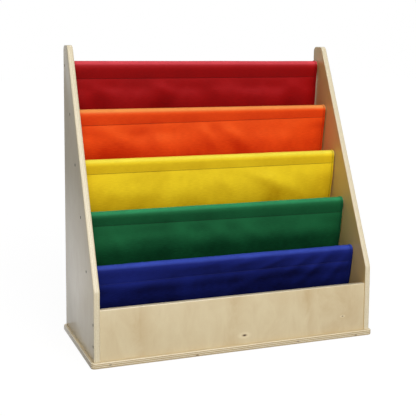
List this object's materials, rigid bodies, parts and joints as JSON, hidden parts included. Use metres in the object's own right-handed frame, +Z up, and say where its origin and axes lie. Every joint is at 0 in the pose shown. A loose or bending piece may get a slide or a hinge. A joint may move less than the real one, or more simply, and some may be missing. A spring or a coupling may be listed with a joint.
{
  "type": "sling bookshelf",
  "caption": "Floor-standing children's sling bookshelf with sloped plywood sides, wooden rods, hanging cloth slings that form book pockets, and a low front bin.",
  "frame": {"origin": "middle of the base board's underside, on the floor", "axes": "+Z up, +X across the width towards the viewer's right, the open front faces -Y"},
  "size_m": [0.914, 0.389, 0.914],
  "materials": {
    "birch_plywood": "clear satin lacquer on birch plywood, soft figure on the faces and layers showing on the edges",
    "rod_wood": "sanded birch dowel, bare or thinly lacquered",
    "black_steel": "black oxide countersunk screw",
    "cloth_red": "plain woven polyester, slight sheen",
    "cloth_orange": "plain woven polyester, slight sheen",
    "cloth_yellow": "plain woven polyester, slight sheen",
    "cloth_green": "plain woven polyester, slight sheen",
    "cloth_blue": "plain woven polyester, slight sheen"
  },
  "bodies": {
    "root": {"base_board": "birch_plywood", "side_panel_left": "birch_plywood", "side_panel_right": "birch_plywood", "front_panel": "birch_plywood", "front_rod_1": "rod_wood", "front_rod_2": "rod_wood", "front_rod_3": "rod_wood", "front_rod_4": "rod_wood", "front_rod_5": "rod_wood", "rear_rod_1": "rod_wood", "rear_rod_2": "rod_wood", "rear_rod_3": "rod_wood", "rear_rod_4": "rod_wood", "rear_rod_5": "rod_wood", "sling_red": "cloth_red", "sling_orange": "cloth_orange", "sling_yellow": "cloth_yellow", "sling_green": "cloth_green", "sling_blue": "cloth_blue", "rod_screw_left_1": "black_steel", "rod_screw_left_2": "black_steel", "rod_screw_left_3": "black_steel", "rod_screw_left_4": "black_steel", "rod_screw_left_5": "black_steel", "front_panel_screw_left_1": "black_steel", "front_panel_screw_left_2": "black_steel", "base_screw_left_1": "black_steel", "base_screw_left_2": "black_steel", "base_screw_left_3": "black_steel", "rod_screw_right_1": "black_steel", "rod_screw_right_2": "black_steel", "rod_screw_right_3": "black_steel", "rod_screw_right_4": "black_steel", "rod_screw_right_5": "black_steel", "front_panel_screw_right_1": "black_steel", "front_panel_screw_right_2": "black_steel", "base_screw_right_1": "black_steel", "base_screw_right_2": "black_steel", "base_screw_right_3": "black_steel", "base_screw_front_1": "black_steel", "base_screw_front_2": "black_steel", "base_screw_front_3": "black_steel"}
  },
  "joints": []
}
